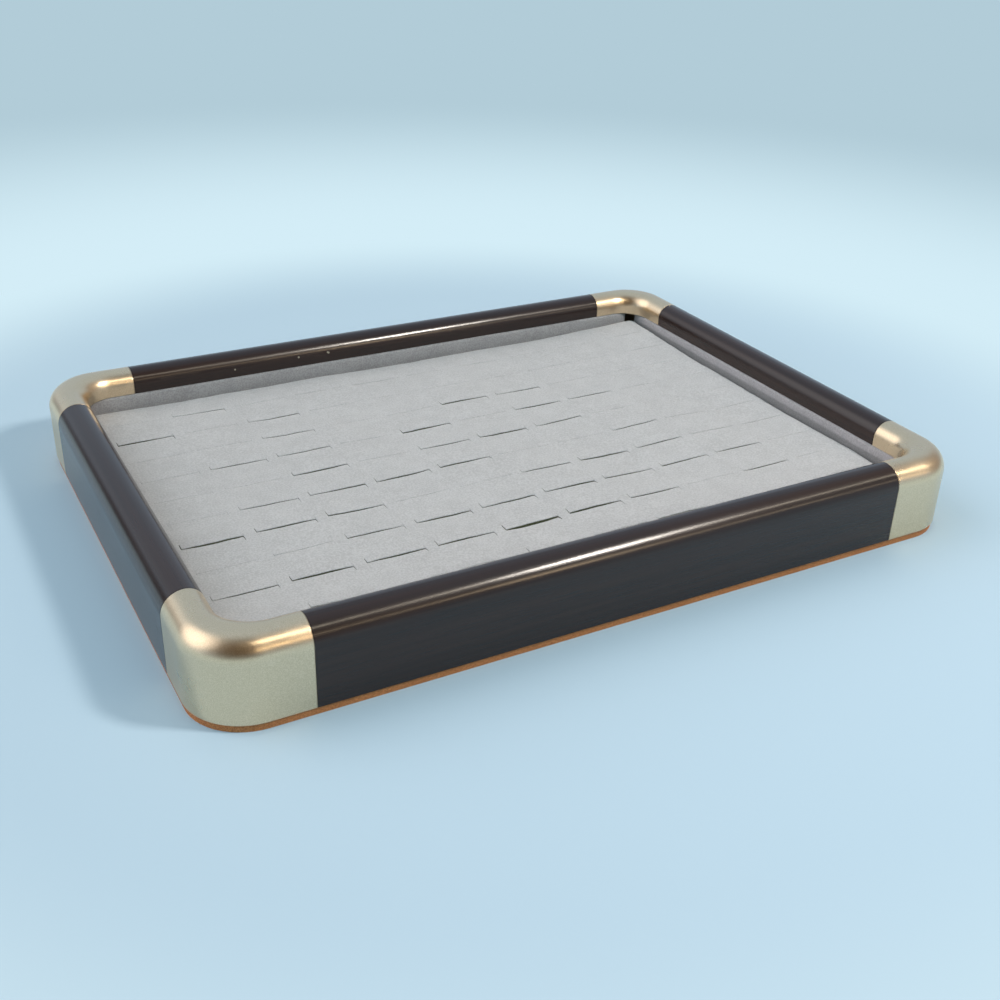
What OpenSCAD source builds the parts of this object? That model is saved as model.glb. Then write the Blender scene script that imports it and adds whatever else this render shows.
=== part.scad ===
// Ring display tray. A frame of four hollow bullnose rails and four cast corners is screwed to a
// base board. Cloth covered boards line its inside, and a slit ring pad lies loose in the recess.
// The long side runs along X, the tray stands on Z = 0, and the origin is the middle of its plan.

/* [Frame] */
// Length over the long rails and corners
frame_l = 350; // [300:1:420]
// Width over the short rails and corners
frame_w = 259; // [210:1:320]
// Height from the table to the crest of the rails
frame_h = 37; // [35:0.5:50]
// Outer radius of the corners, seen from above
corner_r = 24; // [22:0.5:30]
// Width of a rail at its head, from the outer face to the inner face
rail_w = 16.3; // [15.5:0.1:18]
// Radius of the bullnose on its outer side; the inner side takes up the rest of the width
outer_round = 9.2; // [8.5:0.1:10]
// Depth of the inner face of the head below the crest
head_drop = 10.95; // [10.5:0.05:13]
// Bevel along the lower outer edge of the rails and corners
edge_bevel = 0.4; // [0.2:0.1:0.8]

/* [Rails] */
// Wall of the hollow rails
rail_wall = 1.5; // [1.2:0.1:2]
// Greatest distance between two screws along a rail
screw_pitch = 160; // [100:5:200]

/* [Corner castings] */
// Length of a corner along the long side, from the outer face to its joint
leg_x = 41.4; // [36:0.1:60]
// Length of a corner along the short side, from the outer face to its joint
leg_y = 42.5; // [36:0.1:60]
// Radius of the inner side of the bend, in plan, where the head overhangs the tray
inner_bend_r = 14; // [10:0.5:18]
// Wall of the castings
cast_wall = 2; // [1.6:0.1:2.5]
// Thickness of the wall that closes the end of each leg
end_wall = 2.5; // [2:0.1:4]
// Length of the spigot that plugs into a rail
spigot_l = 14; // [8:1:20]
// Room between a spigot and the inside of its rail
spigot_gap = 0.15; // [0.1:0.05:0.3]
// Width of the shadow line at the end of each leg
joint_line_w = 0.3; // [0.2:0.1:0.6]
// Depth of the shadow line at the end of each leg
joint_line_d = 0.25; // [0.15:0.05:0.4]
// Radius of the screw bosses
boss_r = 3.4; // [3:0.1:4]
// Thickness of the ribs that tie a boss to the side walls
rib_t = 1.6; // [1.2:0.1:2.5]

/* [Screws] */
// Radius of a screw's shank
screw_r = 1.4; // [1.2:0.05:1.6]
// Room round a shank in its pilot hole
pilot_gap = 0.05; // [0.03:0.01:0.1]
// Room round a screw in the base board
screw_gap = 0.2; // [0.1:0.05:0.4]
// Radius of a screw's countersunk head
screw_head_r = 2.9; // [2.7:0.05:3.2]
// Depth of the heads below the underside of the base board
screw_sink = 0.4; // [0.2:0.1:0.8]
// Bite of a screw in a corner boss
corner_bite = 12; // [8:1:16]
// Reach of a screw past the bottom of a rail
rail_bite = 6; // [4:1:8]

/* [Base board] */
// Thickness of the base board
base_t = 2.9; // [2.5:0.1:5]
// Setback of the base board's edge from the outer faces
base_inset = 0.7; // [0.4:0.1:2.5]

/* [Lining] */
// Thickness of the board in a lining strip
lining_board_t = 1.6; // [1.2:0.1:2]
// Thickness of the cloth on the lining and on the pad
cloth_t = 0.6; // [0.4:0.05:0.8]
// Room between the top of the lining and the head of the rails
lining_gap = 0.15; // [0.1:0.05:0.5]
// Distance that the lining strips run on past the start of the bend of the corners
lining_reach = 2.8; // [1:0.1:3.5]
// Radius of the cloth along the top of the lining
lining_round = 1.1; // [0.8:0.1:1.3]

/* [Ring pad] */
// Room between the ends of the pad and the lining, at both ends together
pad_play_x = 5.4; // [3:0.1:9]
// Room between the sides of the pad and the lining, at both sides together
pad_play_y = 3.4; // [3:0.1:9]
// Thickness of the board under the foam
pad_board_t = 3; // [2:0.1:4]
// Thickness of the foam
foam_t = 13; // [10:0.1:14]
// Radius of the upper edges of the covered pad
pad_round = 2.2; // [1.8:0.1:3]
// Width of the cloth turned in under the pad
hem_w = 14; // [8:1:25]
// Place of the loose pad in the tray, to the right of the middle
pad_x = -0.4; // [-0.9:0.1:0.9]
// Place of the loose pad in the tray, behind the middle
pad_y = -0.8; // [-0.9:0.1:0.9]

/* [Slits] */
// Length of a slit
slit_l = 25.5; // [20:0.5:27]
// Width at which a slit gapes
slit_gap = 0.9; // [0.6:0.1:1.5]
// Length of the short cut across each end of a slit
tick_l = 7.4; // [4:0.2:10]
// Width of the short cuts
tick_gap = 0.6; // [0.4:0.1:1]
// Distance between the middles of neighbouring slits in a row
slit_pitch = 31; // [29:0.5:40]
// Distance between the rows
row_pitch = 20.6; // [16:0.1:30]
// Least distance from a slit to the end of the pad
slit_margin = 3; // [2:0.5:8]
// Least distance from a row's short cuts to the side of the pad
row_margin = 10; // [6:0.5:14]
// Depth of the slits in the foam
slit_depth = 9; // [6:0.5:9.5]

/* [Hidden] */
$fn = 64;
eps = 0.01;

// Section of the frame
inner_round = rail_w - outer_round;
lining_t = lining_board_t + 2 * cloth_t;
web_w = rail_w - lining_t;
head_z = frame_h - head_drop;
bend_in = rail_w + inner_bend_r;
screw_u = web_w / 2;

// Plan of the frame
half_l = frame_l / 2;
half_w = frame_w / 2;
rail_len_x = frame_l - 2 * leg_x;
rail_len_y = frame_w - 2 * leg_y;
boss_s_x = (corner_r + leg_x - end_wall) / 2;
boss_s_y = (corner_r + leg_y - end_wall) / 2;

// Screws
cone_h = screw_head_r - screw_r;
drive_w = screw_r / 2;
drive_d = cone_h * 0.7;

// Lining strips
lining_h = head_z - lining_gap - base_t;
lining_len_x = frame_l - 2 * (corner_r - lining_reach);
lining_len_y = frame_w - 2 * (corner_r - lining_reach);

// Ring pad
pad_l = frame_l - 2 * rail_w - pad_play_x;
pad_w = frame_w - 2 * rail_w - pad_play_y;
board_z = base_t + cloth_t;
foam_z = board_z + pad_board_t;
foam_top = foam_z + foam_t;
pad_top = foam_top + cloth_t;
foam_round = pad_round - cloth_t;
columns = floor((pad_l - 2 * slit_margin - slit_l) / slit_pitch) + 1;
rows = floor((pad_w - 2 * row_margin - tick_l) / row_pitch) + 1;

// Extrudes a section along X. Its first coordinate lies on Y and its second on Z.
module along_x(from, to) {
    translate([from, 0, 0]) rotate([90, 0, 90]) linear_extrude(to - from) children();
}

// Extrudes a section along Y. Its first coordinate lies on X and its second on Z.
module along_y(from, to) {
    translate([0, to, 0]) rotate([90, 0, 0]) linear_extrude(to - from) children();
}

// Turns a section drawn inwards from its outer face to lie against a face at this distance.
module from_face(distance) {
    translate([distance, 0]) mirror([1, 0]) children();
}

// Quarter of a disc in the upper left or the upper right of its centre
module quarter(r, side) {
    intersection() {
        circle(r);
        translate([side < 0 ? -r : 0, 0]) square(r);
    }
}

// Section of the frame, shrunk by d on every side. X is the depth behind the outer face.
// Two arcs that meet at the crest make the bullnose, and the lining stands under the head.
module frame_section(d = 0) {
    outer_spring = frame_h - outer_round;
    inner_spring = frame_h - inner_round;
    bottom = base_t + d;
    difference() {
        union() {
            translate([d, bottom]) square([outer_round - d, outer_spring - bottom]);
            translate([outer_round, bottom]) square([inner_round - d, inner_spring - bottom]);
            translate([outer_round, outer_spring]) quarter(outer_round - d, -1);
            translate([outer_round, inner_spring]) quarter(inner_round - d, 1);
        }
        translate([web_w - d, 0]) square([rail_w, head_z + d]);
    }
}

// Section of the frame with its lower outer edge bevelled
module bevelled_section() {
    difference() {
        frame_section();
        translate([0, base_t]) rotate(45) square(edge_bevel * sqrt(2), center = true);
    }
}

// Section of the channel in a casting. It is open below, so that it draws straight down.
module channel_section() {
    intersection() {
        frame_section(cast_wall);
        square([web_w - cast_wall, frame_h]);
    }
    translate([cast_wall, 0]) square([web_w - 2 * cast_wall, head_z]);
}

// Sweeps a section round the bend of one corner of the frame
module bend_sweep() {
    translate([half_l - corner_r, half_w - corner_r, 0])
        rotate_extrude(angle = 90) from_face(corner_r) children();
}

// Sweeps a section round the bend and out along both legs of a corner
module corner_sweep(end_x, end_y) {
    bend_sweep() children();
    along_x(half_l - end_x, half_l - corner_r) from_face(half_w) children();
    along_y(half_w - end_y, half_w - corner_r) from_face(half_l) children();
}

// Section of the room beside the inner side of the head, as far as the middle of the inner bend
module recess_section() {
    difference() {
        translate([outer_round, head_z - eps]) square([bend_in - outer_round, head_drop + 2 * eps]);
        frame_section();
    }
}

// Inner side of the head in a bend. It turns with a larger radius than the swept section.
module bend_fill() {
    difference() {
        translate([half_l - bend_in, half_w - bend_in, head_z])
            cube([bend_in - outer_round, bend_in - outer_round, head_drop]);
        difference() {
            translate([half_l - corner_r, half_w - corner_r, head_z - eps])
                cube([corner_r, corner_r, head_drop + 2 * eps]);
            translate([half_l - corner_r, half_w - corner_r, head_z - 1])
                cylinder(r = corner_r - outer_round, h = head_drop + 2);
        }
        translate([half_l - bend_in, half_w - bend_in, 0])
            rotate_extrude(angle = 90) from_face(bend_in) recess_section();
    }
}

// Section of the opening in the inner wall of a bend. The lining strips run into it on both sides.
module window_section() {
    translate([web_w - cast_wall - eps, base_t - eps])
        square([cast_wall + 2 * eps, head_z - base_t + eps]);
}

// Screw places in one corner
module at_corner_screws() {
    translate([half_l - boss_s_x, half_w - screw_u, 0]) children();
    translate([half_l - screw_u, half_w - boss_s_y, 0]) rotate(90) children();
}

// Copies a thing made for the right rear quarter into all four quarters
module four_quarters() {
    for (x = [0, 1]) for (y = [0, 1]) mirror([x, 0, 0]) mirror([0, y, 0]) children();
}

// Countersunk screw that points up. The head grows by gap for its seat.
module screw_body(bite, gap = 0) {
    translate([0, 0, screw_sink]) cylinder(r1 = screw_head_r + gap, r2 = screw_r + gap, h = cone_h);
    translate([0, 0, screw_sink]) cylinder(r = screw_r + gap, h = base_t + bite - screw_sink);
}

// Countersunk screw with a cross recess in its head
module screw(bite) {
    difference() {
        screw_body(bite);
        for (a = [0, 90])
            rotate(a)
                translate([-screw_r, -drive_w / 2, 0])
                    cube([2 * screw_r, drive_w, screw_sink + drive_d]);
    }
}

// Hole and seat for a screw through the base board
module screw_seat() {
    translate([0, 0, -eps]) cylinder(r = screw_head_r + screw_gap, h = screw_sink + 2 * eps);
    screw_body(eps, screw_gap);
}

// Pilot hole for a screw that bites this far
module pilot(bite) {
    translate([0, 0, base_t - eps]) cylinder(r = screw_r + pilot_gap, h = bite + 1 + eps);
}

// Boss inside a casting, tied to both side walls by a rib
module boss() {
    roof = frame_h - cast_wall - 0.5;
    rib_z = base_t + corner_bite / 2;
    translate([0, 0, base_t]) cylinder(r = boss_r, h = roof - base_t);
    translate([-rib_t / 2, cast_wall / 2 - screw_u, rib_z])
        cube([rib_t, web_w - cast_wall, frame_h - outer_round - rib_z]);
}

// Hollow spigots that plug into both neighbouring rails
module spigots() {
    skin = rail_wall + spigot_gap;
    difference() {
        spigot_pair(skin, end_wall / 2, spigot_l);
        spigot_pair(skin + cast_wall, 0, spigot_l + eps);
    }
}

// Section of the frame, shrunk by skin, run out of both legs. It starts this far inside them.
module spigot_pair(skin, inside, reach) {
    x = half_l - leg_x;
    y = half_w - leg_y;
    along_x(x - reach, x + inside) from_face(half_w) frame_section(skin);
    along_y(y - reach, y + inside) from_face(half_l) frame_section(skin);
}

// Corner casting of the right rear quarter
module casting() {
    difference() {
        union() {
            difference() {
                union() {
                    corner_sweep(leg_x - joint_line_w, leg_y - joint_line_w) bevelled_section();
                    corner_sweep(leg_x, leg_y) frame_section(joint_line_d);
                    bend_fill();
                }
                corner_sweep(leg_x - end_wall, leg_y - end_wall) channel_section();
                bend_sweep() window_section();
            }
            at_corner_screws() boss();
            spigots();
        }
        at_corner_screws() pilot(corner_bite);
    }
}

// Screw places along a rail of this length
function screw_places(len) =
    let (n = max(1, ceil(len / screw_pitch)))
    [for (i = [0 : n - 1]) (i + 0.5) * len / n - len / 2];

// Hollow section of a rail
module rail_section() {
    difference() {
        bevelled_section();
        frame_section(rail_wall);
    }
}

// Screw places in the rear rail
module at_rear_screws() {
    for (s = screw_places(rail_len_x)) translate([s, half_w - screw_u, 0]) children();
}

// Screw places in the right rail
module at_right_screws() {
    for (s = screw_places(rail_len_y)) translate([half_l - screw_u, s, 0]) children();
}

// Screw places in all four rails
module at_rail_screws() {
    for (y = [0, 1]) mirror([0, y, 0]) at_rear_screws() children();
    for (x = [0, 1]) mirror([x, 0, 0]) at_right_screws() children();
}

// Rail of the rear side
module long_rail() {
    difference() {
        along_x(-rail_len_x / 2, rail_len_x / 2) from_face(half_w) rail_section();
        at_rear_screws() pilot(rail_wall);
    }
}

// Rail of the right side
module short_rail() {
    difference() {
        along_y(-rail_len_y / 2, rail_len_y / 2) from_face(half_l) rail_section();
        at_right_screws() pilot(rail_wall);
    }
}

// Rectangle with round upper corners that stands on the line at zero
module round_top(w, h, r) {
    translate([-w / 2, 0]) square([w, h - r]);
    translate([r - w / 2, 0]) square([w - 2 * r, h]);
    translate([r - w / 2, h - r]) circle(r);
    translate([w / 2 - r, h - r]) circle(r);
}

// Section of a lining board
module lining_board_section() {
    translate([rail_w - lining_t / 2 - lining_board_t / 2, base_t])
        square([lining_board_t, lining_h - cloth_t]);
}

// Section of the cloth glued round a lining board
module lining_cloth_section() {
    difference() {
        translate([rail_w - lining_t / 2, base_t]) round_top(lining_t, lining_h, lining_round);
        lining_board_section();
    }
}

// Lining strip of the rear side
module long_strip() {
    along_x(-lining_len_x / 2, lining_len_x / 2) from_face(half_w) children();
}

// Lining strip of the right side
module short_strip() {
    along_y(-lining_len_y / 2, lining_len_y / 2) from_face(half_l) children();
}

// Block that lies in the recess, with its four upper edges rounded and mitred at the corners
module pad_block(l, w, z, top, r) {
    translate([pad_x, pad_y, z])
        intersection() {
            along_y(-w / 2, w / 2) round_top(l, top - z, r);
            along_x(-l / 2, l / 2) round_top(w, top - z, r);
        }
}

// One slit, with a short cut across each end
module slit() {
    square([slit_l, slit_gap], center = true);
    for (x = [-1, 1])
        translate([x * (slit_l - tick_gap) / 2, 0]) square([tick_gap, tick_l], center = true);
}

// All slits, down from the top of the pad to this height
module slits(bottom) {
    translate([pad_x, pad_y, bottom])
        linear_extrude(pad_top + 1 - bottom)
            for (i = [0 : columns - 1]) for (j = [0 : rows - 1])
                translate([(i - (columns - 1) / 2) * slit_pitch, (j - (rows - 1) / 2) * row_pitch]) slit();
}

// Board on which the tray stands
module base_board() {
    color("sienna")
        difference() {
            base_plate();
            four_quarters() at_corner_screws() screw_seat();
            at_rail_screws() screw_seat();
        }
}

// Plate with round corners, set back from the frame
module base_plate() {
    r = corner_r - base_inset;
    x = half_l - corner_r;
    y = half_w - corner_r;
    linear_extrude(base_t) {
        square([2 * (x + r), 2 * y], center = true);
        square([2 * x, 2 * (y + r)], center = true);
        for (i = [-1, 1]) for (j = [-1, 1]) translate([i * x, j * y]) circle(r);
    }
}

module rail_front() { color([0.16, 0.14, 0.13]) mirror([0, 1, 0]) long_rail(); }
module rail_back() { color([0.16, 0.14, 0.13]) long_rail(); }
module rail_left() { color([0.16, 0.14, 0.13]) mirror([1, 0, 0]) short_rail(); }
module rail_right() { color([0.16, 0.14, 0.13]) short_rail(); }

module corner_front_left() { color([0.78, 0.74, 0.6]) mirror([1, 0, 0]) mirror([0, 1, 0]) casting(); }
module corner_front_right() { color([0.78, 0.74, 0.6]) mirror([0, 1, 0]) casting(); }
module corner_back_left() { color([0.78, 0.74, 0.6]) mirror([1, 0, 0]) casting(); }
module corner_back_right() { color([0.78, 0.74, 0.6]) casting(); }

module lining_board_front() { color("tan") mirror([0, 1, 0]) long_strip() lining_board_section(); }
module lining_board_back() { color("tan") long_strip() lining_board_section(); }
module lining_board_left() { color("tan") mirror([1, 0, 0]) short_strip() lining_board_section(); }
module lining_board_right() { color("tan") short_strip() lining_board_section(); }

module lining_cloth_front() { color("darkgray") mirror([0, 1, 0]) long_strip() lining_cloth_section(); }
module lining_cloth_back() { color("darkgray") long_strip() lining_cloth_section(); }
module lining_cloth_left() { color("darkgray") mirror([1, 0, 0]) short_strip() lining_cloth_section(); }
module lining_cloth_right() { color("darkgray") short_strip() lining_cloth_section(); }

// Stiff board under the foam
module pad_board() {
    color("burlywood")
        translate([pad_x - pad_l / 2 + cloth_t, pad_y - pad_w / 2 + cloth_t, board_z])
            cube([pad_l - 2 * cloth_t, pad_w - 2 * cloth_t, pad_board_t]);
}

// Foam that grips the rings
module pad_foam() {
    color("dimgray")
        difference() {
            pad_block(pad_l - 2 * cloth_t, pad_w - 2 * cloth_t, foam_z, foam_top, foam_round);
            slits(foam_top - slit_depth);
        }
}

// Cloth over the foam, cut with the same slits and turned in under the board
module pad_cover() {
    color("silver")
        difference() {
            pad_block(pad_l, pad_w, base_t, pad_top, pad_round);
            pad_block(pad_l - 2 * cloth_t, pad_w - 2 * cloth_t, board_z, foam_top, foam_round);
            translate([pad_x - pad_l / 2 + hem_w, pad_y - pad_w / 2 + hem_w, base_t - eps])
                cube([pad_l - 2 * hem_w, pad_w - 2 * hem_w, cloth_t + 2 * eps]);
            slits(foam_top - eps);
        }
}

module corner_screws() { color("darkgoldenrod") four_quarters() at_corner_screws() screw(corner_bite); }
module rail_screws() { color("darkgoldenrod") at_rail_screws() screw(rail_bite); }

base_board();
rail_front();
rail_back();
rail_left();
rail_right();
corner_front_left();
corner_front_right();
corner_back_left();
corner_back_right();
lining_board_front();
lining_board_back();
lining_board_left();
lining_board_right();
lining_cloth_front();
lining_cloth_back();
lining_cloth_left();
lining_cloth_right();
pad_board();
pad_foam();
pad_cover();
corner_screws();
rail_screws();
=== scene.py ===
# Ring display tray: camera, light and materials, and its pad and lining as detailed meshes.
# Metres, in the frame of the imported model: X along the long side, Z up, origin under the middle.
import math

import bpy
import numpy as np
from mathutils import Matrix, Vector, geometry


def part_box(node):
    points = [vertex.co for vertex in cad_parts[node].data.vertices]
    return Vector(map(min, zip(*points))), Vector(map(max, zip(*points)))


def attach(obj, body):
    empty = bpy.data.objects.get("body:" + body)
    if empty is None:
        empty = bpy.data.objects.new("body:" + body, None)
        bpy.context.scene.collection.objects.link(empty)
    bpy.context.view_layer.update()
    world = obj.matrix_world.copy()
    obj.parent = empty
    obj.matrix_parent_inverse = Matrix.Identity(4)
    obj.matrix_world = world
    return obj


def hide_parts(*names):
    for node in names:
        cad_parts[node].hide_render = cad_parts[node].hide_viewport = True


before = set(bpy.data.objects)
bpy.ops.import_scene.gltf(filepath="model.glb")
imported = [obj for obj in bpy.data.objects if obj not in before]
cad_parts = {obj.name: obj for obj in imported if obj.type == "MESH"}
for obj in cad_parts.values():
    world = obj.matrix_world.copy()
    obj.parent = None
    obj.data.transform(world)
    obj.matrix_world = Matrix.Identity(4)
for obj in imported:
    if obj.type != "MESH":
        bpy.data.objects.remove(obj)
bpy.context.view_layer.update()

MM = 0.001
RAILS = ("rail_front", "rail_back", "rail_left", "rail_right")
CORNERS = ("corner_front_left", "corner_front_right", "corner_back_left", "corner_back_right")
SIDES = ("front", "back", "left", "right")


# Node trees

class Tree:
    """A node tree, with short calls for the nodes that are used here. It is a new material's
    tree, or that of the owner given."""

    def __init__(self, name, owner=None):
        self.material = owner or bpy.data.materials.new(name)
        self.material.use_nodes = True
        self.tree = self.material.node_tree
        self.shader = self.tree.nodes.get("Principled BSDF")
        self.coords = self.node("TexCoord").outputs["Object"]

    def node(self, kind, inputs=None, **settings):
        made = self.tree.nodes.new("ShaderNode" + kind)
        for key, value in settings.items():
            setattr(made, key, value)
        for key, value in (inputs or {}).items():
            self.put(made.inputs[key], value)
        return made

    def put(self, socket, value):
        """Links a socket to an output, or sets its value."""
        if isinstance(value, bpy.types.NodeSocket):
            self.tree.links.new(value, socket)
        else:
            socket.default_value = value

    def set(self, **inputs):
        """Sets the shader's own sockets, with underscores for the spaces in their names."""
        for key, value in inputs.items():
            self.put(self.shader.inputs[key.replace("_", " ")], value)

    def scaled(self, scale, turn=(0, 0, 0)):
        """Object coordinates multiplied, one factor an axis, and then turned."""
        made = self.node("Mapping", {"Vector": self.coords, "Scale": scale, "Rotation": turn})
        return made.outputs[0]

    def noise(self, scale, detail=4.0, roughness=0.5, vector=None):
        """Noise from 0 to 1. scale is in features a metre."""
        made = self.node("TexNoise", {
            "Vector": vector or self.coords, "Scale": scale, "Detail": detail, "Roughness": roughness})
        return made.outputs["Fac"]

    def math(self, operation, a, b=0.0):
        return self.node("Math", {0: a, 1: b}, operation=operation).outputs[0]

    def span(self, value, low, high, to_low=0.0, to_high=1.0):
        """Maps low..high smoothly onto to_low..to_high."""
        made = self.node("MapRange", {
            "Value": value, "From Min": low, "From Max": high, "To Min": to_low, "To Max": to_high},
            interpolation_type="SMOOTHSTEP")
        return made.outputs[0]

    def mix(self, factor, a, b):
        """Mixes two colours."""
        made = self.node("Mix", data_type="RGBA")
        self.put(made.inputs["Factor"], factor)
        self.put(made.inputs[6], a)
        self.put(made.inputs[7], b)
        return made.outputs[2]

    def bump(self, height, distance, strength=1.0, normal=None):
        """Bump of this height in metres, on top of an earlier normal."""
        made = self.node("Bump", {"Height": height, "Distance": distance, "Strength": strength})
        if normal is not None:
            self.put(made.inputs["Normal"], normal)
        return made.outputs[0]

    def up(self):
        """How far the surface faces up, from -1 to 1."""
        normal = self.node("NewGeometry").outputs["Normal"]
        return self.node("SeparateXYZ", {0: normal}).outputs[2]

    def near(self, spots, radius):
        """1 within about radius of any of these points, else 0."""
        total = None
        for spot in spots:
            far = self.node("VectorMath", {0: self.coords, 1: spot}, operation="DISTANCE")
            close = self.span(far.outputs["Value"], radius * 0.6, radius, 1.0, 0.0)
            total = close if total is None else self.math("MAXIMUM", total, close)
        return total


def rgb(r, g, b):
    """A colour from its 0 to 255 screen values, as the linear one that a shader takes."""
    linear = [v / 255 / 12.92 if v <= 10 else ((v / 255 + 0.055) / 1.055) ** 2.4 for v in (r, g, b)]
    return (*linear, 1.0)


# Colour that the floor takes on far from the tray, and that the camera sees beyond it
BACKDROP = rgb(178, 204, 216)


# Materials

def rail_finish(name, along, nicks=()):
    """Dark wood-grain film over a metal rail. along is 0 for grain along X and 1 for grain along Y.
    The pores show most on the upright sides, and the film is worn through at the nicks."""
    t = Tree(name)
    nick_radius = 0.6 * MM
    fine, long = 2400.0, 45.0
    stretch = (long, fine, fine) if along == 0 else (fine, long, fine)
    lean = math.radians(1.2)
    turn = (0, lean, 0) if along == 0 else (lean, 0, 0)
    grain = t.noise(1.0, 3.0, 0.6, t.scaled(stretch, turn))
    streak = t.noise(0.12, 2.0, 0.5, t.scaled(stretch, turn))
    cloud = t.noise(22.0, 2.0)
    side = t.span(t.up(), 0.1, 0.5, 1.0, 0.25)
    pores = t.math("MULTIPLY", t.span(grain, 0.5, 0.75), side)
    body = t.mix(t.span(streak, 0.35, 0.7), rgb(33, 17, 11), rgb(45, 26, 18))
    body = t.mix(t.span(cloud, 0.3, 0.8, 0.0, 0.35), body, rgb(41, 21, 14))
    colour = t.mix(pores, body, rgb(20, 13, 12))
    if nicks:
        colour = t.mix(t.near(nicks, nick_radius), colour, rgb(158, 148, 132))
    t.set(Base_Color=colour, Roughness=t.span(cloud, 0.2, 0.8, 0.16, 0.2), Specular_IOR_Level=0.46,
          Coat_Weight=0.2, Coat_Roughness=0.4)
    t.set(Normal=t.bump(pores, -0.00004, 0.7))
    return t.material


def corner_finish():
    """Satin champagne coating with a fine metallic sparkle, over a cast body whose edges it rounds
    a little."""
    t = Tree("champagne")
    flake = t.noise(3000.0, 2.0, 0.6)
    grain = t.noise(1400.0, 3.0, 0.7)
    cloud = t.noise(60.0, 3.0)
    colour = t.mix(t.span(flake, 0.35, 0.7), rgb(220, 198, 164), rgb(238, 217, 188))
    t.set(Base_Color=colour, Metallic=1.0, Roughness=t.span(cloud, 0.3, 0.7, 0.27, 0.32))
    edge = t.node("Bevel", {"Radius": 0.25 * MM}, samples=6).outputs[0]
    t.set(Normal=t.bump(grain, 0.00003, 0.7, edge))
    return t.material


def board_finish():
    """Raw fibreboard: orange brown, with fine fibres and darker clouds."""
    t = Tree("fibreboard")
    fibre = t.noise(1800.0, 5.0, 0.65)
    cloud = t.noise(70.0, 3.0)
    colour = t.mix(t.span(fibre, 0.3, 0.7), rgb(156, 88, 44), rgb(214, 140, 84))
    colour = t.mix(t.span(cloud, 0.35, 0.75, 0.0, 0.4), colour, rgb(170, 100, 52))
    t.set(Base_Color=colour, Roughness=0.8)
    t.set(Normal=t.bump(fibre, 0.00015, 0.6))
    return t.material


def card_finish():
    """Grey-brown millboard inside the pad and the lining."""
    t = Tree("millboard")
    fibre = t.noise(900.0, 5.0, 0.7)
    t.set(Base_Color=t.mix(fibre, rgb(120, 108, 92), rgb(160, 146, 126)), Roughness=0.9)
    t.set(Normal=t.bump(fibre, 0.0001, 0.5))
    return t.material


def foam_finish():
    """Dark olive-brown foam, with its open cells."""
    t = Tree("foam")
    cells = t.node("TexVoronoi", {"Vector": t.coords, "Scale": 1500.0}).outputs["Distance"]
    t.set(Base_Color=t.mix(t.span(cells, 0.1, 0.6), rgb(54, 58, 42), rgb(88, 92, 68)), Roughness=1.0)
    t.set(Normal=t.bump(cells, 0.0003, 0.8))
    return t.material


def cloth_finish(name, dark, light, shade=None):
    """Short-napped microfibre in two close greys, with patches where the nap lies another way.
    With shade given, painted shade darkens the colour up to 1 mm above that height and fades out by 2.6
    mm above it, for the narrow groove between the lining and the pad."""
    t = Tree(name)
    nap = t.noise(2600.0, 4.0, 0.7)
    tuft = t.noise(1250.0, 2.0, 0.6)
    patch = t.noise(120.0, 4.0, 0.65)
    tone = t.math("ADD", t.math("MULTIPLY", nap, 0.25), t.math("MULTIPLY", tuft, 0.55))
    tone = t.math("ADD", tone, t.math("MULTIPLY", patch, 0.2))
    colour = t.mix(t.span(tone, 0.38, 0.62), dark, light)
    if shade:
        # Painted shade: the colour turns darker low on the cloth, towards rgb(96, 98, 96), standing in
        # for the shade in the groove beside the pad.
        height = t.node("SeparateXYZ", {0: t.coords}).outputs[2]
        painted_shade = t.span(height, shade + 1 * MM, shade + 2.6 * MM, 0.5, 0.0)
        colour = t.mix(painted_shade, colour, rgb(96, 98, 96))
    t.set(Base_Color=colour, Roughness=0.95, Sheen_Weight=0.25, Sheen_Roughness=0.5,
          Specular_IOR_Level=0.2)
    t.set(Normal=t.bump(nap, 0.00025, 0.6, t.bump(tuft, 0.00035, 0.6)))
    return t.material


def screw_finish():
    """Zinc-plated steel with a yellow cast and fine turning marks."""
    t = Tree("plated_steel")
    cloud = t.noise(800.0, 3.0)
    t.set(Base_Color=t.mix(cloud, rgb(176, 160, 120), rgb(205, 196, 170)), Metallic=1.0, Roughness=0.35)
    t.set(Normal=t.bump(t.noise(4000.0, 2.0), 0.00002, 0.4))
    return t.material


def dress(node, material):
    """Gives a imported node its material."""
    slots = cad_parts[node].data.materials
    slots.clear()
    slots.append(material)


def dress_all():
    """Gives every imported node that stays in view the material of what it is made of."""
    long_grain = rail_finish("rail_film_x", 0)
    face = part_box("rail_back")[0].y + 0.2 * MM
    nicked = rail_finish("rail_film_nicked", 0, [
        (-0.033, face, 0.0312), (-0.0325, face, 0.0309), (-0.049, face, 0.031), (-0.083, face, 0.030)])
    short_grain = rail_finish("rail_film_y", 1)
    metal = corner_finish()
    card = card_finish()
    plated = screw_finish()
    for name, material in zip(RAILS, (long_grain, nicked, short_grain, short_grain)):
        dress(name, material)
    for name in CORNERS:
        dress(name, metal)
    for side in SIDES:
        dress("lining_board_" + side, card)
    dress("base_board", board_finish())
    dress("pad_board", card)
    dress("corner_screws", plated)
    dress("rail_screws", plated)


# Ring pad

SLIT_COUNT = (10, 10)
SLIT_PITCH = np.array((31.0, 20.6)) * MM
# Half of the length of a slit, and of the short cut across its end
SLIT_HALF = 12.75 * MM
TICK_HALF = 3.7 * MM
# Half of the gape that a closed slit keeps
SHUT = 0.008 * MM
# How far a short cut reaches past the end of its slit, as a share of its width
BEYOND = 0.3
# Thickness of the cloth, and of its edge as it shows in a cut
CLOTH = 0.6 * MM
CUT_EDGE = 0.12 * MM
# Radius at which the cloth rounds down into a cut
LIP = 0.5 * MM
# Radius of the pad's upper edges, and of its corners in plan
ROLL = 2.2 * MM
PLAN_ROUND = 3.0 * MM
# Width of the cloth turned in under the pad
HEM = 14 * MM
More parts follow.
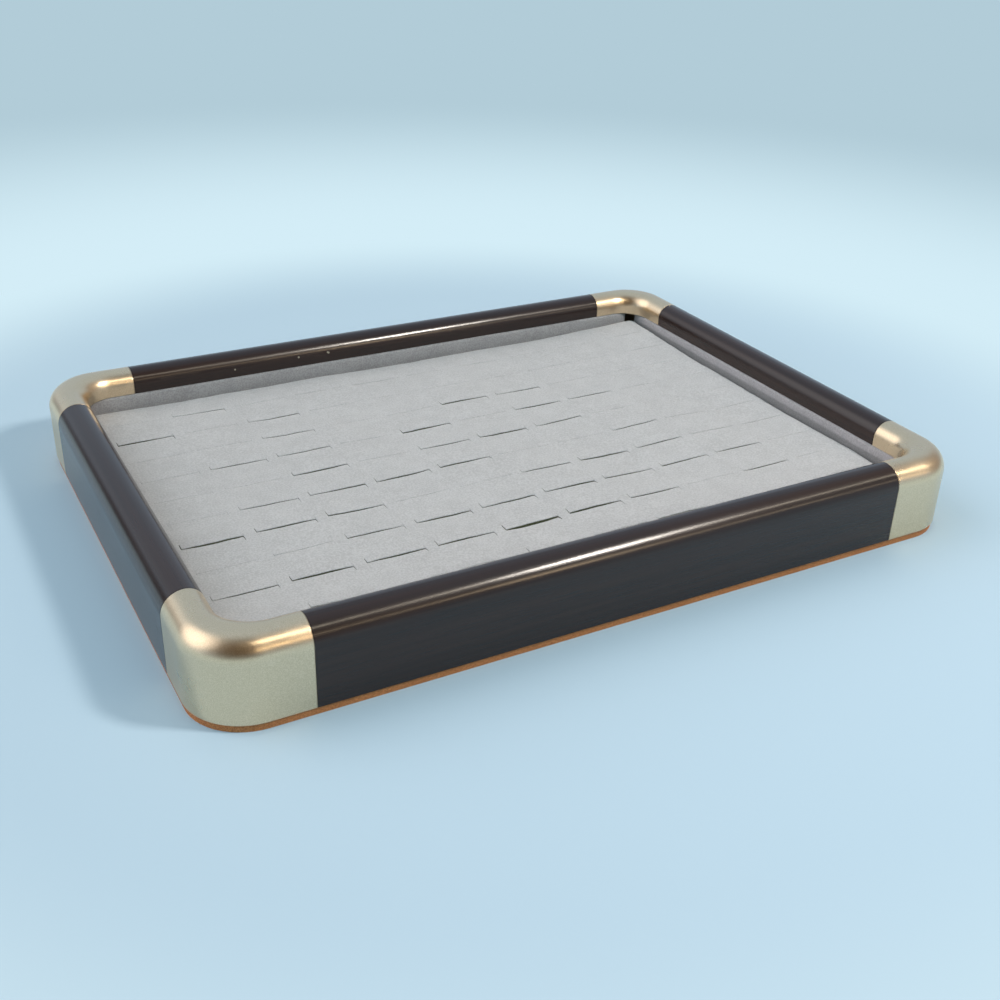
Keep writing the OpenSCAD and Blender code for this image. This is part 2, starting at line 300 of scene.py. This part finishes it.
# Distances from a cut at which the cover has a ring of points
RINGS = [k * MM for k in (0.14, 0.34, 0.7, 1.4, 2.8)]
# Steps between the points of the cover along its cuts, along its border and on its face
CUT_STEP, BORDER_STEP, FACE_STEP = 0.55 * MM, 1.6 * MM, 2.1 * MM
# Least distance between loose points of the cover
LEAST_STEP = 0.13 * MM
# Depths in millimetres in the foam, and the share of its gape that a cut still has there
FOAM_WALLS = ((1.5, 0.75), (4.0, 0.4), (9.0, 0.12))

# Gape in millimetres of the slits that stand open, by row from the front and column from the left,
# with the place along the slit where each is widest, from -1 at its left end to 1 at its right.
OPEN_SLITS = {
    (0, 1): (0.45, 0.0), (0, 4): (0.59, 0.2), (0, 6): (0.39, 0.0),
    (1, 0): (0.39, 0.2), (1, 1): (0.65, -0.1), (1, 2): (0.59, 0.2), (1, 3): (0.59, -0.2),
    (1, 4): (1.1, 0.1), (1, 5): (0.72, -0.2), (1, 6): (0.45, -0.1), (1, 8): (0.39, 0.0),
    (2, 2): (0.45, -0.3), (2, 3): (0.59, 0.1), (2, 4): (0.52, 0.3), (2, 5): (0.59, 0.5),
    (2, 6): (0.45, -0.4), (2, 7): (0.52, -0.7), (2, 8): (0.39, 0.0),
    (3, 0): (0.72, 0.1), (3, 1): (0.59, 0.0), (3, 2): (0.52, -0.4), (3, 5): (0.39, 0.1),
    (3, 6): (0.59, -0.1), (3, 7): (0.39, 0.0),
    (4, 1): (0.33, 0.0), (4, 2): (0.52, 0.6), (4, 3): (0.59, 0.0), (4, 4): (0.59, -0.4),
    (4, 7): (0.39, 0.0),
    (5, 2): (0.59, 0.0), (5, 4): (0.39, 0.1), (5, 5): (0.65, 0.0), (5, 6): (0.45, 0.2),
    (6, 1): (0.39, 0.0), (6, 2): (0.39, 0.2), (6, 4): (0.65, -0.4), (6, 6): (0.52, 0.0),
    (6, 7): (0.39, 0.0),
    (7, 2): (0.39, 0.0), (7, 5): (0.59, -0.4), (7, 6): (0.39, 0.5),
    (8, 0): (0.59, -0.4), (8, 2): (0.39, 0.4), (9, 1): (0.33, 0.8),
}


def smooth(value, low, high):
    """Smooth step from 0 at low to 1 at high."""
    share = np.clip((value - low) / (high - low), 0, 1)
    return share * share * (3 - 2 * share)


class Ripples:
    """A smooth uneven surface: waves of about one length, in seeded directions."""

    def __init__(self, seed, length, waves=9):
        draw = np.random.default_rng(seed)
        angle = draw.uniform(0, 2 * math.pi, waves)
        number = 2 * math.pi / (length * draw.uniform(0.7, 1.5, waves))
        self.kx = number * np.cos(angle)
        self.ky = number * np.sin(angle)
        self.phase = draw.uniform(0, 2 * math.pi, waves)

    def __call__(self, x, y):
        total = np.sin(np.multiply.outer(x, self.kx) + np.multiply.outer(y, self.ky) + self.phase)
        return total.sum(-1) / math.sqrt(len(self.phase) / 2)


class Slit:
    """One I-shaped cut. Its two flaps hinge at the ends of the short cuts, the front one sags and
    the back one lifts a little. The short cuts come in the order front left, back left, front
    right, back right."""

    def __init__(self, row, column, draw):
        place = np.array((column, row)) - (np.array(SLIT_COUNT) - 1) / 2
        self.middle = place * SLIT_PITCH
        closed = (draw.uniform(0.0, 0.09), draw.uniform(-0.5, 0.5))
        gape, widest = OPEN_SLITS.get((row, column), closed)
        self.gape = gape * MM
        self.widest = widest
        self.half = SLIT_HALF * draw.uniform(0.98, 1.01)
        self.tilt = draw.normal(0, 0.012)
        self.bow = draw.normal(0, 0.12) * MM
        self.ticks = TICK_HALF * draw.uniform(0.85, 1.05, 4)
        pulled = np.array((0.0, 0.28, 0.22, 0.04)) * gape
        self.tick_gape = (draw.uniform(0.008, 0.025, 4) + pulled) * MM
        sag = draw.uniform(0, 0.06) + 0.6 * gape
        lift = draw.uniform(0, 0.04) + 0.15 * gape
        self.sag = np.array((sag, -lift)) * MM

    def line(self, x):
        """Height of the cut's middle line across the row, at x along it."""
        return self.tilt * x + self.bow * (1 - (x / self.half) ** 2)

    def open(self, x):
        """Half of the gape at x along the cut."""
        share = x / self.half
        peak = np.clip(1 - ((share - self.widest) / (1 + abs(self.widest))) ** 2, 0, 1) ** 0.4
        ends = np.clip(1 - share ** 2, 0, 1) ** 0.15
        return SHUT + self.gape / 2 * peak * ends

    def outline(self, step):
        """Points round the cut, and for each the point of its middle lines that its wall closes on."""
        a = self.half
        points, cores = [], []

        def run(x, y, core_x, core_y):
            x, y, core_x, core_y = np.broadcast_arrays(x, y, core_x, core_y)
            points.append(np.stack((x, y), -1)[:-1])
            cores.append(np.stack((core_x, core_y), -1)[:-1])

        def along(start, end):
            return np.linspace(start, end, max(3, int(abs(end - start) / step) + 1))

        down_l, up_l, down_r, up_r = self.ticks
        wide_dl, wide_ul, wide_dr, wide_ur = self.tick_gape
        low_x = along(wide_dl - a, a - wide_dr)
        low = self.line(low_x) - self.open(low_x)
        high_x = along(a - wide_ur, wide_ul - a)
        high = self.line(high_x) + self.open(high_x)
        run(along(-a - wide_dl * BEYOND, wide_dl - a), -down_l, -a, -down_l * 0.98)
        y = along(-down_l, low[0])
        run(wide_dl - a, y, -a, y)
        run(low_x, low, low_x, self.line(low_x))
        y = along(low[-1], -down_r)
        run(a - wide_dr, y, a, y)
        run(along(a - wide_dr, a + wide_dr * BEYOND), -down_r, a, -down_r * 0.98)
        y = along(-down_r, 0)
        run(a + wide_dr * BEYOND, y, a, y)
        y = along(0, up_r)
        run(a + wide_ur * BEYOND, y, a, y)
        run(along(a + wide_ur * BEYOND, a - wide_ur), up_r, a, up_r * 0.98)
        y = along(up_r, high[0])
        run(a - wide_ur, y, a, y)
        run(high_x, high, high_x, self.line(high_x))
        y = along(high[-1], up_l)
        run(wide_ul - a, y, -a, y)
        run(along(wide_ul - a, -a - wide_ul * BEYOND), up_l, -a, up_l * 0.98)
        y = along(up_l, 0)
        run(-a - wide_ul * BEYOND, y, -a, y)
        y = along(0, -down_l)
        run(-a - wide_dl * BEYOND, y, -a, y)
        return np.concatenate(points) + self.middle, np.concatenate(cores) + self.middle

    def sink(self, x, y):
        """How far the flaps sag at these places near the slit."""
        x, y = x - self.middle[0], y - self.middle[1]
        off = y - self.line(x)
        side = (off > 0).astype(int)
        hinge = np.where(side == 1, self.ticks[[1, 3]].mean(), self.ticks[[0, 2]].mean())
        flap = np.clip(1 - np.abs(off) / hinge, 0, 1) ** 1.2
        inside = np.abs(x) < self.half
        middle = 0.6 + 0.4 * np.clip(1 - (x / self.half - self.widest) ** 2, 0, 1)
        around = 0.25 * np.exp(-(np.abs(off) / (2.5 * MM)) ** 2)
        around = around * smooth(self.half + 2.5 * MM - np.abs(x), 0, 3 * MM)
        return self.sag[side] * np.where(inside, flap * middle, 0) + abs(self.sag[0]) * around * 0.4


def make_slits():
    draw = np.random.default_rng(7)
    columns, rows = SLIT_COUNT
    return [Slit(row, column, draw) for row in range(rows) for column in range(columns)]


def distance_to_loop(points, loop):
    """Distance from each point to a closed outline."""
    start, end = loop, np.roll(loop, -1, 0)
    way = end - start
    to_point = points[:, None] - start[None]
    share = np.clip((to_point * way).sum(-1) / np.maximum((way * way).sum(-1), 1e-18), 0, 1)
    return np.sqrt(((to_point - share[..., None] * way) ** 2).sum(-1)).min(1)


def inside_loop(points, loop):
    """Whether each point lies inside a closed outline."""
    x, y = points[:, 0, None], points[:, 1, None]
    ax, ay = loop[:, 0], loop[:, 1]
    bx, by = np.roll(ax, -1), np.roll(ay, -1)
    with np.errstate(divide="ignore", invalid="ignore"):
        crosses = ((ay > y) != (by > y)) & (x < (bx - ax) * (y - ay) / (by - ay) + ax)
    return crosses.sum(1) % 2 == 1


def ring_points(loop):
    """Points round an outline at growing distances, for a fine mesh beside the cut."""
    way = np.roll(loop, -1, 0) - np.roll(loop, 1, 0)
    length = np.sqrt((way ** 2).sum(-1, keepdims=True))
    normal = np.stack((way[:, 1], -way[:, 0]), -1) / np.maximum(length, 1e-12)
    kept = []
    for k, far in enumerate(RINGS):
        ring = (loop + normal * far)[::1 + k // 3]
        kept.append(ring[distance_to_loop(ring, loop) > far * 0.93])
    return np.concatenate(kept)


def thinned(points, gap):
    """The points, with at most one in each square of this size."""
    cell = np.round(points / gap).astype(np.int64)
    first = np.unique(cell[:, 0] * 1_000_003 + cell[:, 1], return_index=True)[1]
    return points[np.sort(first)]


def triangulate(loops, loose):
    """Delaunay triangles over loops and loose points. Gives the points, the triangles and each
    loop's indices."""
    points = np.concatenate(loops + [loose])
    edges, spans, start = [], [], 0
    for loop in loops:
        n = len(loop)
        edges += [(start + i, start + (i + 1) % n) for i in range(n)]
        spans.append(range(start, start + n))
        start += n
    found = geometry.delaunay_2d_cdt([Vector(p) for p in points.tolist()], edges, [], 0, 1e-8)
    new = {old: i for i, olds in enumerate(found[3]) for old in olds}
    flat = np.array([tuple(v) for v in found[0]])
    return flat, np.array(found[2]), [[new[i] for i in span] for span in spans]


def without_holes(flat, triangles, loops):
    """The triangles that lie in none of the loops."""
    middle = flat[triangles].mean(1)
    keep = np.ones(len(triangles), bool)
    for loop in loops:
        low, high = loop.min(0), loop.max(0)
        near = np.nonzero(((middle > low) & (middle < high)).all(1))[0]
        keep[near[inside_loop(middle[near], loop)]] = False
    return triangles[keep]


class Pad:
    """The ring pad: how its flat cloth lies over the foam, and the meshes of both."""

    def __init__(self):
        low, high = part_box("pad_cover")
        self.low, self.high = np.array(low), np.array(high)
        self.middle = ((self.low + self.high) / 2)[:2]
        self.half = ((self.high - self.low) / 2)[:2]
        self.top = high.z
        self.drop = high.z - low.z
        self.flat_reach = PLAN_ROUND - ROLL + ROLL * math.pi / 2 + self.drop - ROLL
        self.slits = make_slits()
        self.broad = Ripples(11, 70 * MM)
        self.fine = Ripples(12, 9 * MM, 14)
        self.edge_wave = Ripples(13, 45 * MM)
        self.corner_wave = Ripples(14, 6 * MM)

    def beyond(self, flat):
        """Way and distance of each flat point past the rectangle where the edges start to roll."""
        core = self.half - PLAN_ROUND
        out = flat - np.clip(flat, -core, core)
        far = np.sqrt((out ** 2).sum(-1))
        return out / np.maximum(far, 1e-12)[:, None], far

    def lie(self, x, y):
        """Height of the pad's top over its mean, away from the slits."""
        hx, hy = self.half
        right_rear = smooth(x, hx - 75 * MM, hx) * smooth(y, hy - 85 * MM, hy)
        left_rear = smooth(-x, hx - 40 * MM, hx) * smooth(y, hy - 30 * MM, hy)
        rear = smooth(y, hy - 12 * MM, hy)
        height = 2.0 * right_rear + 0.5 * left_rear - 0.3 * rear * (1 - right_rear)
        return (height + 0.2 * self.broad(x, y) + 0.045 * self.fine(x, y)) * MM

    def settle(self, flat, below=0.0):
        """Takes flat cloth points to where they lie. below is the depth under the cloth's face."""
        way, far = self.beyond(flat)
        start = PLAN_ROUND - ROLL
        turn = np.clip((far - start) / ROLL, 0, math.pi / 2)
        radial = np.minimum(far, start) + (ROLL - below) * np.sin(turn)
        hanging = np.maximum(far - start - ROLL * math.pi / 2, 0)
        drop = ROLL - (ROLL - below) * np.cos(turn) + hanging
        core = self.half - PLAN_ROUND
        plan = np.clip(flat, -core, core) + way * radial[:, None]
        x, y = plan[:, 0], plan[:, 1]
        upper = 1 - smooth(drop, 0, self.drop * 0.7)
        height = self.lie(x, y) * upper - drop
        for slit in self.slits:
            near = np.nonzero((np.abs(flat - slit.middle) < SLIT_PITCH / 2).all(1))[0]
            height[near] -= slit.sink(x[near], y[near])
        hx, hy = self.half
        edge = smooth(far, 0, 3 * MM)
        corner = edge * smooth(np.abs(x), hx - 12 * MM, hx) * smooth(np.abs(y), hy - 12 * MM, hy)
        push = (0.35 * self.edge_wave(x, y) - 0.3) * edge + 0.5 * self.corner_wave(x, y) * corner
        lean = 1.2 * smooth(x, hx - 4 * MM, hx) * edge
        x = x + way[:, 0] * push * MM + lean * MM
        y = y + way[:, 1] * push * MM
        return np.stack((x + self.middle[0], y + self.middle[1], self.top + height), -1)

    def border(self, reach, step):
        """A rounded rectangle, this far past the one where the edges start to roll."""
        hx, hy = self.half - PLAN_ROUND
        arc = max(3, int(reach * math.pi / 2 / step))
        points = []
        for k, (sx, sy) in enumerate(((1, -1), (1, 1), (-1, 1), (-1, -1))):
            angle = math.pi / 2 * (k - 1) + np.linspace(0, math.pi / 2, arc, endpoint=False)
            round_x, round_y = reach * np.cos(angle), reach * np.sin(angle)
            points.append(np.stack((sx * hx + round_x, sy * hy + round_y), -1))
            side = 2 * (hy if k % 2 == 0 else hx)
            share = np.linspace(0, 1, int(side / step), endpoint=False)[:, None]
            last = angle[0] + math.pi / 2
            outward = np.array((math.cos(last), math.sin(last)))
            tangent = np.array((-math.sin(last), math.cos(last)))
            corner = np.array((sx * hx, sy * hy)) + reach * outward
            points.append(corner + tangent * share * side)
        return np.concatenate(points)

    def grid(self, reach, step):
        """Loose points on a slightly shaken grid."""
        draw = np.random.default_rng(5)
        size = self.half - PLAN_ROUND + reach
        x, y = np.meshgrid(*(np.arange(-s + step / 2, s, step) for s in size))
        points = np.stack((x.ravel(), y.ravel()), -1)
        points = points + draw.uniform(-0.2, 0.2, points.shape) * step
        return points[self.beyond(points)[1] < reach - step * 0.6]

    def make_cover(self, material):
        """The cloth cover: its face with the cuts, their thin edges, the rolled sides and the hem."""
        loops = [slit.outline(CUT_STEP)[0] for slit in self.slits]
        border = self.border(self.flat_reach, BORDER_STEP)
        rings = [ring_points(loop) for loop in loops]
        grid = self.grid(self.flat_reach, FACE_STEP)
        for slit, loop in zip(self.slits, loops):
            near = (np.abs(grid - slit.middle) < (SLIT_HALF + 3 * MM, TICK_HALF + 3 * MM)).all(1)
            clear = ~near
            clear[near] = distance_to_loop(grid[near], loop) > RINGS[-1]
            grid = grid[clear]
        start = PLAN_ROUND - ROLL
        rolls = [self.border(start + ROLL * k * math.pi / 12, BORDER_STEP) for k in range(7)]
        loose = thinned(np.concatenate(rings + rolls + [grid]), LEAST_STEP)
        flat, triangles, spans = triangulate([border] + loops, loose)
        triangles = without_holes(flat, triangles, loops)
        placed = self.settle(flat)
        placed[:, 2] -= self.lip(flat, loops)
        edge = spans[0]
        placed[edge, 2] = self.low[2]
        points, faces = list(placed), triangles.tolist()
        for span in spans[1:]:
            under = list(range(len(points), len(points) + len(span)))
            points += [placed[i] - (0, 0, CUT_EDGE) for i in span]
            faces += band(span, under)
        turned = placed[edge]
        turned[:, :2] = (turned[:, :2] - self.middle) * (1 - HEM / self.half) + self.middle
        hem = list(range(len(points), len(points) + len(edge)))
        points += list(turned)
        faces += band(hem, edge)
        made = add_mesh("pad_cloth_cover", points, faces, material)
        stand_for("pad_cover")

    def lip(self, flat, loops):
        """How far the cloth's face rounds down towards the cuts."""
        down = np.zeros(len(flat))
        reach = (SLIT_HALF + 1 * MM, TICK_HALF + 1 * MM)
        for slit, loop in zip(self.slits, loops):
            near = np.nonzero((np.abs(flat - slit.middle) < reach).all(1))[0]
            far = np.clip(LIP - distance_to_loop(flat[near], loop), 0, LIP)
            x, y = (flat[near] - slit.middle).T
            share = 0.22 + 0.3 * min(slit.gape / (0.45 * MM), 1)
            share = share * (1 - 0.75 * smooth(np.abs(y - slit.line(x)), 0.5 * MM, 1.2 * MM))
            down[near] = share * (LIP - np.sqrt(LIP ** 2 - far ** 2))
        return down

    def make_foam(self, material):
        """The foam slab: it fills the cover, and its cuts have walls that close downwards."""
        outlines = [slit.outline(1.3 * MM) for slit in self.slits]
        loops = [points for points, cores in outlines]
        start = PLAN_ROUND - ROLL
        rolls = [self.border(start + ROLL * k * math.pi / 8, 3 * MM) for k in range(5)]
        grid = self.grid(start, 5 * MM)
        reach = (SLIT_HALF + 1.5 * MM, TICK_HALF + 1.5 * MM)
        for slit in self.slits:
            grid = grid[(np.abs(grid - slit.middle) > reach).any(1)]
        flat, triangles, spans = triangulate([rolls[-1]] + loops, np.concatenate(rolls[:-1] + [grid]))
        triangles = without_holes(flat, triangles, loops)
        placed = self.settle(flat, CLOTH + 0.05 * MM)
        placed[:, 2] -= self.lip(flat, loops)
        for span in spans[1:]:
            placed[span, 2] += CLOTH - CUT_EDGE
        points, faces = list(placed), triangles.tolist()
        for span, (loop, cores) in zip(spans[1:], outlines):
            above = span
            for depth, share in FOAM_WALLS:
                below = list(range(len(points), len(points) + len(span)))
                closing = cores + (loop - cores) * share + self.middle
                points += [(x, y, placed[i][2] - depth * MM) for (x, y), i in zip(closing, span)]
                faces += band(above, below)
                above = below
            faces.append(above)
        edge = spans[0]
        bottom = list(range(len(points), len(points) + len(edge)))
        points += [(x, y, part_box("pad_foam")[0].z) for x, y, z in placed[edge]]
        faces += band(bottom, edge)
        faces.append(bottom[::-1])
        made = add_mesh("pad_foam_slab", points, faces, material, shade_smooth=False)
        stand_for("pad_foam")


def band(first, second):
    """Faces between two closed rows of points. Seen with first above second, the outside of a
    clockwise row faces out, and the inside of an anticlockwise one."""
    n = len(first)
    return [(first[k], first[(k + 1) % n], second[(k + 1) % n], second[k]) for k in range(n)]


def add_mesh(name, points, faces, material, shade_smooth=True):
    """A new object of these points and faces."""
    mesh = bpy.data.meshes.new(name)
    mesh.from_pydata([tuple(map(float, p)) for p in points], [], [tuple(f) for f in faces])
    mesh.validate()
    mesh.materials.append(material)
    mesh.polygons.foreach_set("use_smooth", [shade_smooth] * len(mesh.polygons))
    mesh.update()
    made = bpy.data.objects.new(name, mesh)
    bpy.context.scene.collection.objects.link(made)
    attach(made, "root")
    return made


def stand_for(node):
    """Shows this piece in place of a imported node."""
    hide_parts(node)


# Lining

STRIP_CLOTH = 0.5 * MM


class Strip:
    """One lining strip: cloth wrapped over the top of its board, with soft ends.
    past is how many millimetres the cloth runs on past each end of the board."""

    def __init__(self, side, seed, past=(0, 0)):
        self.side = side
        self.past = past
        self.node = "lining_cloth_" + side
        low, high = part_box(self.node)
        self.low, self.high = low, high
        self.long = 0 if side in ("front", "back") else 1
        self.sign = 1 if side in ("back", "right") else -1
        self.half = (high - low)[self.long] / 2
        across = 1 - self.long
        self.wall = (high if self.sign > 0 else low)[across]
        self.thick = (high - low)[across]
        self.wave = Ripples(seed, 38 * MM, 7)
        self.small = Ripples(seed + 1, 7 * MM, 12)

    def section(self):
        """Outer line of the cloth: how far each point stands in from the wall, and its height."""
        inner, outer = 1.3 * MM, 0.9 * MM
        top, thick = self.high.z - self.low.z, self.thick
        points = [(thick, z) for z in np.linspace(0.0, top - inner, 17)]
        for a in np.linspace(0, math.pi / 2, 9)[1:]:
            points.append((thick - inner + inner * math.cos(a), top - inner + inner * math.sin(a)))
        for a in np.linspace(math.pi / 2, math.pi, 6):
            points.append((outer + outer * math.cos(a), top - outer + outer * math.sin(a)))
        points += [(0.0, z) for z in np.linspace(top - outer, 0.0, 8)[1:]]
        return np.array(points)

    def make(self, material):
        """The strip: the section at places along it, which lie closer together at the ends."""
        section = self.section()
        start, stop = -self.half / MM - self.past[0], self.half / MM + self.past[1]
        close = np.array((0, 0.12, 0.3, 0.6))
        between = np.arange(start + 1.1, stop - 1, 1.3)
        length = np.concatenate((start + close, between, stop - close[::-1])) * MM
        s, k = np.meshgrid(length, np.arange(len(section)), indexing="ij")
        inward, height = section[k, 0], section[k, 1]
        full = self.high.z - self.low.z
        face = smooth(inward, self.thick * 0.5, self.thick)
        raised = smooth(height, 0, 6 * MM)
        ends = 1 - smooth(np.minimum(s - start * MM, stop * MM - s), 0, 1.2 * MM)
        inward = inward - face * raised * MM * (
            0.16 + 0.11 * self.wave(s, height * 0) + 0.05 * self.small(s, height))
        inward = inward + (self.thick / 2 - inward) * 0.75 * ends ** 2
        crest = smooth(height, full - 2 * MM, full)
        height = height - crest * MM * (0.14 + 0.09 * self.wave(s + 0.4, height * 0))
        height = height - crest * ends * 0.7 * MM
        points = np.zeros((*s.shape, 3))
        across = 1 - self.long
        points[..., self.long] = s
        points[..., across] = self.wall - self.sign * inward
        points[..., 2] = self.low.z + height
        rows, columns = s.shape
        index = np.arange(rows * columns).reshape(rows, columns)
        a, b = index[:-1, :-1], index[1:, :-1]
        c, d = index[1:, 1:], index[:-1, 1:]
        faces = np.stack((a, b, c, d), -1).reshape(-1, 4)
        if (self.long == 0) == (self.sign > 0):
            faces = faces[:, ::-1]
        made = add_mesh("lining_wrap_" + self.side, points.reshape(-1, 3), faces.tolist(), material)
        shell = made.modifiers.new("cloth", "SOLIDIFY")
        shell.thickness = STRIP_CLOTH
        shell.offset = -1
        stand_for(self.node)


# Camera, floor and light

def make_camera():
    """The photograph's viewpoint: its place, the way it looks, and its slight tilt."""
    place = Vector((-0.2502, -0.4605, 0.2745))
    azimuth = math.radians(29.403)
    down = math.radians(28.378)
    roll = math.radians(1.888)
    focal_share = 1.24267
    sensor = 36.0
    forward = Vector((
        math.sin(azimuth) * math.cos(down), math.cos(azimuth) * math.cos(down), -math.sin(down)))
    level = forward.cross(Vector((0, 0, 1))).normalized()
    right = (Matrix.Rotation(-roll, 3, forward) @ level).normalized()
    up = right.cross(forward)
    camera = bpy.data.cameras.new("camera")
    camera.sensor_fit = "HORIZONTAL"
    camera.sensor_width = sensor
    camera.lens = sensor * focal_share
    made = bpy.data.objects.new("camera", camera)
    turn = Matrix((right, up, -forward)).transposed()
    made.matrix_world = Matrix.Translation(place) @ turn.to_4x4()
    bpy.context.scene.collection.objects.link(made)
    bpy.context.scene.camera = made


def make_floor():
    """A plain pale floor. Near the tray it takes light and shadow, and further out it glows for the
    camera and in reflections with painted light, lighter near the tray and fading to the backdrop's
    colour far out."""
    half = 6.0
    mesh = bpy.data.meshes.new("floor")
    mesh.from_pydata([(-half, -half, 0), (half, -half, 0), (half, half, 0), (-half, half, 0)],
                     [], [(0, 1, 2, 3)])
    made = bpy.data.objects.new("floor", mesh)
    bpy.context.scene.collection.objects.link(made)
    t = Tree("floor")
    t.set(Base_Color=rgb(187, 211, 229), Roughness=0.9, Specular_IOR_Level=0.1)
    distance = t.node("VectorMath", {0: t.coords}, operation="LENGTH").outputs["Value"]
    # Painted light: the glowing floor is lighter near the tray and darker far out, standing in for the
    # fall-off of the studio light.
    even = t.mix(t.span(distance, 0.42, 0.95), rgb(212, 237, 247), BACKDROP)
    flat = t.node("Emission", {"Color": even, "Strength": 1.0})
    rays = t.node("LightPath").outputs
    seen = t.math("MAXIMUM", rays["Is Camera Ray"], rays["Is Glossy Ray"])
    mixed = t.node("MixShader", {0: t.math("MULTIPLY", t.span(distance, 0.26, 0.4), seen)})
    t.put(mixed.inputs[1], t.shader.outputs[0])
    t.put(mixed.inputs[2], flat.outputs[0])
    t.put(t.tree.nodes["Material Output"].inputs["Surface"], mixed.outputs[0])
    mesh.materials.append(t.material)


def make_lamp(name, place, target, size, watts, tint, even=False, lights=True, mirrored=True):
    """A soft lamp of this width and height that faces its target. An even one fades less with
    distance than others. One that does not light only leaves its reflection, and one that is not
    mirrored leaves none."""
    lamp = bpy.data.lights.new(name, "AREA")
    lamp.shape = "RECTANGLE"
    lamp.size, lamp.size_y = size
    lamp.energy = watts
    lamp.color = tint
    if even:
        t = Tree(name, lamp)
        fade = t.node("LightFalloff", {"Strength": 1.0}).outputs
        reach = (Vector(target) - Vector(place)).length
        half = t.math("MULTIPLY", fade["Linear"], reach)
        strength = t.math("MULTIPLY", t.math("ADD", fade["Constant"], half), 0.5)
        t.put(t.tree.nodes["Emission"].inputs["Strength"], strength)
    made = bpy.data.objects.new(name, lamp)
    made.visible_diffuse = lights
    made.visible_glossy = mirrored
    made.location = place
    made.rotation_euler = (Vector(target) - Vector(place)).to_track_quat("-Z", "Y").to_euler()
    bpy.context.scene.collection.objects.link(made)


def make_surround():
    """A pale studio: a soft window on the left, a warm wall on the right, and the room behind the
    camera. The glossy pieces mirror bluer walls, a dark room, a weaker window and a dark door. The
    camera itself sees a plain backdrop in the colour of the far floor."""
    world = bpy.data.worlds.new("surround")
    world.use_nodes = True
    bpy.context.scene.world = world
    t = Tree(world.name, world)
    background = t.tree.nodes["Background"]
    way = t.node("TexCoord").outputs["Generated"]

    def toward(azimuth, elevation, inner, outer):
        """1 within inner degrees of a direction, falling to 0 at outer."""
        a, e = math.radians(azimuth), math.radians(elevation)
        axis = (math.sin(a) * math.cos(e), math.cos(a) * math.cos(e), math.sin(e))
        dot = t.node("VectorMath", {0: way, 1: axis}, operation="DOT_PRODUCT").outputs["Value"]
        return t.span(dot, math.cos(math.radians(outer)), math.cos(math.radians(inner)))

    def studio(pale, room, window):
        """The surround, from the colours of its walls, the room and the window."""
        colour = t.mix(toward(-153, 40, 12, 66), pale, room)
        warm_wall = t.math("MULTIPLY", toward(100, 24, 8, 42), 0.7)
        colour = t.mix(warm_wall, colour, (0.28, 0.18, 0.09, 1))
        return t.mix(toward(-66, 33, 8, 38), colour, window)

    lit = studio((0.42, 0.42, 0.41, 1), (0.1, 0.39, 0.5, 1), (2.7, 2.6, 2.6, 1))
    mirrored = studio((0.48, 0.6, 0.73, 1), (0.08, 0.052, 0.024, 1), (1.9, 1.87, 1.9, 1))
    door = t.math("MULTIPLY", toward(-33, 3, 4, 15), 0.85)
    mirrored = t.mix(door, mirrored, (0.05, 0.03, 0.025, 1))
    rays = t.node("LightPath").outputs
    colour = t.mix(rays["Is Glossy Ray"], lit, mirrored)
    t.put(background.inputs["Color"], t.mix(rays["Is Camera Ray"], colour, BACKDROP))
    background.inputs["Strength"].default_value = 1.0


def make_light():
    """A compact key lamp to the right of the camera, a weaker one lower down, the long dim strips
    on either side of them that only the glossy pieces show, and a broad lamp behind."""
    middle = (0, 0, 0.02)
    make_lamp("key", (0.37, -0.47, 0.64), middle, (0.12, 0.12), 5.2, (1.0, 0.93, 0.85), even=True)
    make_lamp("low", (0.39, -0.83, 0.43), middle, (0.14, 0.14), 0.38, (1.0, 0.74, 0.46), even=True)
    make_lamp("top", (-0.3, 0.9, 1.7), middle, (1.4, 1.4), 4.0, (1.0, 0.85, 0.7), mirrored=False)
    right = (0.4, 0, 0.02)
    make_lamp("strip", (0.4, -0.47, 0.64), right, (1.0, 0.07), 1.4, (1.0, 0.88, 0.68), lights=False)
    make_lamp(
        "low_strip", (0.4, -0.83, 0.43), right, (1.0, 0.08), 0.85, (1.0, 0.78, 0.5), lights=False)


make_camera()
make_floor()
make_light()
make_surround()
dress_all()
pad = Pad()
pad.make_cover(cloth_finish("pad_cloth", rgb(172, 172, 175), rgb(194, 194, 197)))
pad.make_foam(foam_finish())
lining_cloth = cloth_finish("lining_cloth", rgb(150, 146, 148), rgb(176, 172, 174))
# The right strip's cloth is the same cloth as the other strips, painted lighter for the window light
# that falls on it, and with painted shade low down beside the pad.
lit_shaded_lining_cloth = cloth_finish("lining_cloth_painted_light_and_shade", rgb(158, 154, 156), rgb(184, 179, 182), pad.top)
# Millimetres that the lining cloth runs on past its board, at the left or front end and at the other
past_ends = {"front": (0, 0), "back": (3.3, 0), "left": (0, 0), "right": (0, 2.6)}
for number, side in enumerate(SIDES):
    # The right strip takes the cloth with painted light and painted shade.
    cloth = lit_shaded_lining_cloth if side == "right" else lining_cloth
    Strip(side, 20 + 5 * number, past_ends[side]).make(cloth)

bpy.context.scene.view_settings.view_transform = "Standard"
